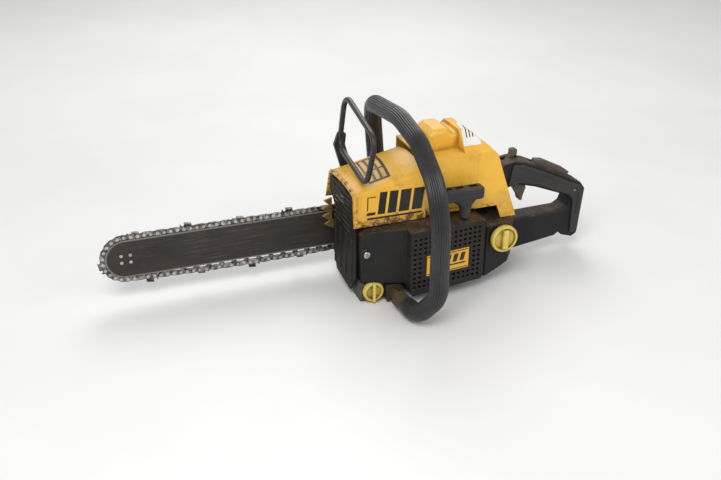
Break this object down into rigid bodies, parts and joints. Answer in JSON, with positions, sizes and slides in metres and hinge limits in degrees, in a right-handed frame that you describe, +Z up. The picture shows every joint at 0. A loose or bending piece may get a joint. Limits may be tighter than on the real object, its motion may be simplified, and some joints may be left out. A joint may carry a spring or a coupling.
{
  "type": "chainsaw",
  "caption": "Petrol chainsaw with a rear handle, wrap-round front handle, hand guard, side recoil starter, sprocket-nosed bar and saw chain.",
  "frame": {"origin": "centre of the powerhead's base at the resting surface, straight below the crankshaft", "axes": "+X towards the rear handle (the bar points along -X), +Y towards the bar side, +Z up"},
  "size_m": [0.7527, 0.2997, 0.2749],
  "materials": {
    "magnesium": "painted casting",
    "aluminium": "cast",
    "steel": "machined",
    "black_plastic": "worn moulding",
    "grey_plastic": "worn moulding",
    "yellow_plastic": "worn and dusty",
    "cap_plastic": "faded",
    "brown_plastic": "worn",
    "red_plastic": "moulded",
    "badge": "printed",
    "rubber": "moulded",
    "grip_rubber": "ribbed",
    "felt": "felt",
    "brass": "tarnished",
    "exhaust_steel": "heat stained",
    "bar_steel": "oily and dark",
    "chain_steel": "oily",
    "rivet_steel": "bright",
    "painted_tube": "powder coat",
    "bracket_steel": "worn"
  },
  "bodies": {
    "powerhead": {"crankcase_left": "magnesium", "crankcase_right": "magnesium", "cylinder": "aluminium", "crank_bearings_and_seals": "steel", "ignition_coil": "black_plastic", "spark_plug": "steel", "ignition_lead_and_boot": "rubber", "intake_boot": "rubber", "carburettor": "aluminium", "air_filter": "felt", "muffler": "exhaust_steel", "oil_pump": "magnesium", "brake_band": "steel", "guide_bar": "bar_steel", "nose_hub_and_rivets": "rivet_steel", "chain_drive_links": "chain_steel", "chain_tie_straps": "chain_steel", "chain_cutters": "chain_steel", "chain_rivets": "rivet_steel", "bar_studs_and_nuts": "steel", "chain_tensioner": "steel", "clutch_cover": "black_plastic", "spiked_bumper": "brass", "front_shield": "black_plastic", "starter_housing": "black_plastic", "badge": "badge", "recoil_spring": "steel", "top_cover": "yellow_plastic", "air_filter_cover": "yellow_plastic", "fuel_tank": "black_plastic", "rubber_mounts": "rubber", "rear_handle": "black_plastic", "rear_handle_shell": "grey_plastic", "control_pins": "steel", "front_handle_tube": "painted_tube", "front_handle_grip": "grip_rubber", "handle_brackets": "bracket_steel", "body_screws": "rivet_steel"},
    "crankshaft": {"crankshaft": "steel", "flywheel_and_nut": "aluminium", "clutch_hub": "steel", "clutch_shoes_and_spring": "steel"},
    "clutch_drum": {"clutch_drum": "steel", "chain_sprocket_and_bearing": "steel"},
    "nose_sprocket": {"nose_sprocket": "steel"},
    "piston": {"piston": "aluminium", "piston_rings_and_pin": "steel"},
    "connecting_rod": {"connecting_rod": "steel"},
    "starter_pulley": {"starter_pulley": "grey_plastic"},
    "starter_grip": {"starter_grip_and_rope": "grey_plastic"},
    "hand_guard": {"hand_guard": "black_plastic"},
    "throttle_trigger": {"throttle_trigger": "brown_plastic"},
    "throttle_lockout": {"throttle_lockout": "brown_plastic"},
    "throttle_valve": {"throttle_valve": "brass"},
    "choke_lever": {"choke_lever": "brown_plastic"},
    "choke_valve": {"choke_valve": "brass"},
    "stop_switch": {"stop_switch": "red_plastic"},
    "fuel_cap": {"fuel_cap": "cap_plastic"},
    "oil_cap": {"oil_cap": "cap_plastic"}
  },
  "joints": [
    {"name": "crankshaft_spin", "type": "hinge", "parent": "powerhead", "child": "crankshaft", "pos_m": [0, 0, 0.069], "axis": [0, 1, 0], "continuous": true},
    {"name": "clutch_drum_spin", "type": "hinge", "parent": "powerhead", "child": "clutch_drum", "pos_m": [0, 0.052, 0.069], "axis": [0, 1, 0], "continuous": true},
    {"name": "nose_sprocket_spin", "type": "hinge", "parent": "powerhead", "child": "nose_sprocket", "pos_m": [-0.44667, 0.052, 0.069], "axis": [0, 1, 0], "continuous": true},
    {"name": "piston_stroke", "type": "slide", "parent": "powerhead", "child": "piston", "axis": [0, 0, 1], "range_m": [-0.032, 0]},
    {"name": "connecting_rod_swing", "type": "hinge", "parent": "piston", "child": "connecting_rod", "pos_m": [0, 0, 0.141], "axis": [0, 1, 0], "range_deg": [-16, 16]},
    {"name": "starter_pull", "type": "slide", "parent": "powerhead", "child": "starter_grip", "axis": [0, 0, 1], "range_m": [0, 0.08]},
    {"name": "starter_pulley_turn", "type": "hinge", "parent": "powerhead", "child": "starter_pulley", "pos_m": [0, -0.08, 0.069], "axis": [0, -1, 0], "range_deg": [0, 210.3]},
    {"name": "hand_guard_swing", "type": "hinge", "parent": "powerhead", "child": "hand_guard", "pos_m": [-0.1, 0.066, 0.126], "axis": [0, -1, 0], "range_deg": [0, 14]},
    {"name": "throttle_trigger_pull", "type": "hinge", "parent": "powerhead", "child": "throttle_trigger", "pos_m": [0.148, 0, 0.136], "axis": [0, -1, 0], "range_deg": [0, 18], "stiffness_Nm_per_rad": 0.3, "springref_deg": -5.73},
    {"name": "throttle_lockout_press", "type": "hinge", "parent": "powerhead", "child": "throttle_lockout", "pos_m": [0.182, 0, 0.146], "axis": [0, 1, 0], "range_deg": [0, 8], "stiffness_Nm_per_rad": 0.6, "springref_deg": -5.73},
    {"name": "throttle_valve_turn", "type": "hinge", "parent": "powerhead", "child": "throttle_valve", "pos_m": [0.0592, 0, 0.1255], "axis": [0, -1, 0], "range_deg": [0, 76]},
    {"name": "choke_lever_swing", "type": "hinge", "parent": "powerhead", "child": "choke_lever", "pos_m": [0.132, 0.006, 0.156], "axis": [0, -1, 0], "range_deg": [0, 25]},
    {"name": "choke_valve_turn", "type": "hinge", "parent": "powerhead", "child": "choke_valve", "pos_m": [0.0772, 0, 0.1255], "axis": [0, -1, 0], "range_deg": [0, 76]},
    {"name": "stop_switch_slide", "type": "slide", "parent": "powerhead", "child": "stop_switch", "axis": [0, 0, -1], "range_m": [0, 0.004]},
    {"name": "fuel_cap_lift", "type": "slide", "parent": "powerhead", "child": "fuel_cap", "axis": [0, -1, 0], "range_m": [0, 0.025]},
    {"name": "oil_cap_lift", "type": "slide", "parent": "powerhead", "child": "oil_cap", "axis": [0, -1, 0], "range_m": [0, 0.025]}
  ],
  "couplings": [
    {"joint": "nose_sprocket_spin", "follows": "clutch_drum_spin", "ratio": 0.63636},
    {"joint": "starter_pulley_turn", "follows": "starter_pull", "rad_per_m": 45.455},
    {"joint": "throttle_valve_turn", "follows": "throttle_trigger_pull", "ratio": 4.2},
    {"joint": "choke_valve_turn", "follows": "choke_lever_swing", "ratio": 3}
  ]
}
